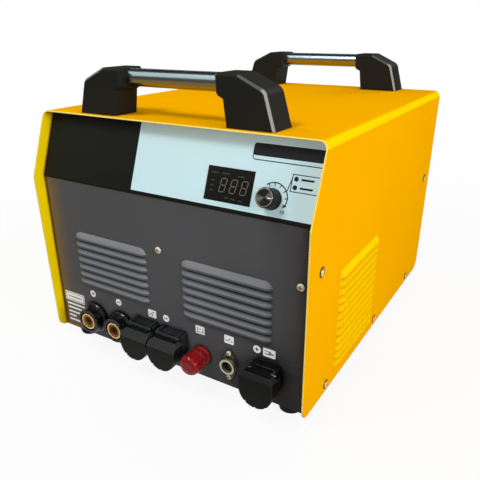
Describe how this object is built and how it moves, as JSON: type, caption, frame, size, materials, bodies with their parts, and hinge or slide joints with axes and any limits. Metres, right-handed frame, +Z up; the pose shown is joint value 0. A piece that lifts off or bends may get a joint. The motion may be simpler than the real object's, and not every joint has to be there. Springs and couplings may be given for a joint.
{
  "type": "plasma cutter",
  "caption": "Portable plasma cutting power source in a louvred folded cover, with a leaned-back control face, lidded terminals along its foot, tube handles on top and a compressor inside.",
  "frame": {"origin": "on the floor, under the centre of the machine's overall box", "axes": "+Z up, +X to the right of a person who faces the controls, control panel on the -Y side"},
  "size_m": [0.377, 0.488, 0.353],
  "materials": {
    "cover_paint": "glossy yellow powder coat",
    "panel_paint": "fine-textured dark grey powder coat",
    "bare_sheet": "zinc-plated sheet",
    "dark_film": "satin printed film",
    "light_film": "satin printed film, pale blue",
    "smoked_window": "glossy smoked acrylic",
    "display_plastic": "moulded",
    "circuit_board": "solder-masked board with parts",
    "knob_plastic": "satin moulded",
    "bright_metal": "polished plate",
    "steel_fittings": "zinc plate",
    "socket_plastic": "moulded insulating plastic",
    "lid_plastic": "lightly grained moulding",
    "contact_brass": "turned",
    "red_plastic": "moulded",
    "nickel": "nickel plate",
    "gilt_screws": "zinc plate with a yellow passivation",
    "handle_plastic": "satin moulded",
    "rubber_parts": "matt",
    "fan_plastic": "moulded",
    "breaker_plastic": "moulded",
    "lever_plastic": "moulded",
    "motor_casting": "painted casting",
    "aluminium_parts": "as cast and extruded",
    "copper_winding": "enamelled copper"
  },
  "bodies": {
    "case": {"cover": "cover_paint", "chassis_base": "panel_paint", "front_panel": "panel_paint", "rear_panel": "panel_paint", "inner_shelf": "bare_sheet", "overlay_dark": "dark_film", "overlay_light": "light_film", "display_window": "smoked_window", "display_module": "display_plastic", "control_board": "circuit_board", "current_pot": "steel_fittings", "mma_shell_positive": "socket_plastic", "mma_shell_negative": "socket_plastic", "socket_contacts": "contact_brass", "torch_housing_inner": "socket_plastic", "torch_housing_external": "socket_plastic", "torch_stubs": "contact_brass", "work_housing": "socket_plastic", "lid_pins": "steel_fittings", "terminal_nuts": "steel_fittings", "post_base": "red_plastic", "post_stud": "contact_brass", "trigger_shell": "nickel", "trigger_insert": "socket_plastic", "panel_screws": "steel_fittings", "cover_screws": "gilt_screws", "handle_front_left": "handle_plastic", "handle_front_right": "handle_plastic", "handle_rear_left": "handle_plastic", "handle_rear_right": "handle_plastic", "handle_tubes": "bright_metal", "handle_screws": "bare_sheet", "rubber_feet": "rubber_parts", "fan_guard": "steel_fittings", "fan_frame": "fan_plastic", "breaker_body": "breaker_plastic", "cable_gland": "fan_plastic", "earth_stud": "steel_fittings", "air_inlet": "contact_brass", "compressor_motor": "motor_casting", "compressor_heads": "aluminium_parts", "compressor_mounts": "rubber_parts", "transformer_core": "bare_sheet", "transformer_winding": "copper_winding", "output_choke": "copper_winding", "heat_sink": "aluminium_parts", "power_board": "circuit_board", "solenoid_valve": "contact_brass", "air_hoses": "rubber_parts"},
    "current_knob": {"pot_shaft": "steel_fittings", "current_knob": "knob_plastic", "knob_trim": "bright_metal"},
    "torch_lid_inner": {"torch_lid_inner": "lid_plastic"},
    "torch_lid_external": {"torch_lid_external": "lid_plastic"},
    "work_lid": {"work_lid": "lid_plastic"},
    "post_washer": {"post_washer": "contact_brass"},
    "post_nut": {"post_nut": "red_plastic"},
    "fan_rotor": {"fan_rotor": "fan_plastic"},
    "breaker_lever": {"breaker_lever": "lever_plastic"},
    "compressor_fans": {"compressor_fans": "fan_plastic"}
  },
  "joints": [
    {"name": "current_knob_turn", "type": "hinge", "parent": "case", "child": "current_knob", "pos_m": [0.134, -0.20861, 0.24321], "axis": [0, -0.9343, 0.3565], "range_deg": [-140, 140]},
    {"name": "torch_lid_inner_hinge", "type": "hinge", "parent": "case", "child": "torch_lid_inner", "pos_m": [-0.032, -0.2282, 0.0625], "axis": [-1, 0, 0], "range_deg": [0, 100]},
    {"name": "torch_lid_external_hinge", "type": "hinge", "parent": "case", "child": "torch_lid_external", "pos_m": [0.01, -0.2282, 0.0625], "axis": [-1, 0, 0], "range_deg": [0, 100]},
    {"name": "work_lid_hinge", "type": "hinge", "parent": "case", "child": "work_lid", "pos_m": [0.137, -0.2282, 0.0595], "axis": [-1, 0, 0], "range_deg": [0, 100]},
    {"name": "post_screw_turn", "type": "hinge", "parent": "case", "child": "post_washer", "pos_m": [0.05, -0.22, 0.042], "axis": [0, -1, 0], "range_deg": [0, 1080]},
    {"name": "post_nut_travel", "type": "slide", "parent": "post_washer", "child": "post_nut", "axis": [0, -1, 0], "range_m": [0, 0.00376]},
    {"name": "fan_spin", "type": "hinge", "parent": "case", "child": "fan_rotor", "pos_m": [-0.062, 0.194, 0.228], "axis": [0, 1, 0], "continuous": true},
    {"name": "breaker_lever_tilt", "type": "hinge", "parent": "case", "child": "breaker_lever", "pos_m": [0.095, 0.211, 0.237], "axis": [-1, 0, 0], "range_deg": [0, 60]},
    {"name": "compressor_spin", "type": "hinge", "parent": "case", "child": "compressor_fans", "pos_m": [0.08, 0.036, 0.068], "axis": [0, 1, 0], "continuous": true}
  ],
  "couplings": [
    {"joint": "post_nut_travel", "follows": "post_screw_turn", "m_per_rad": 0.00019894}
  ]
}
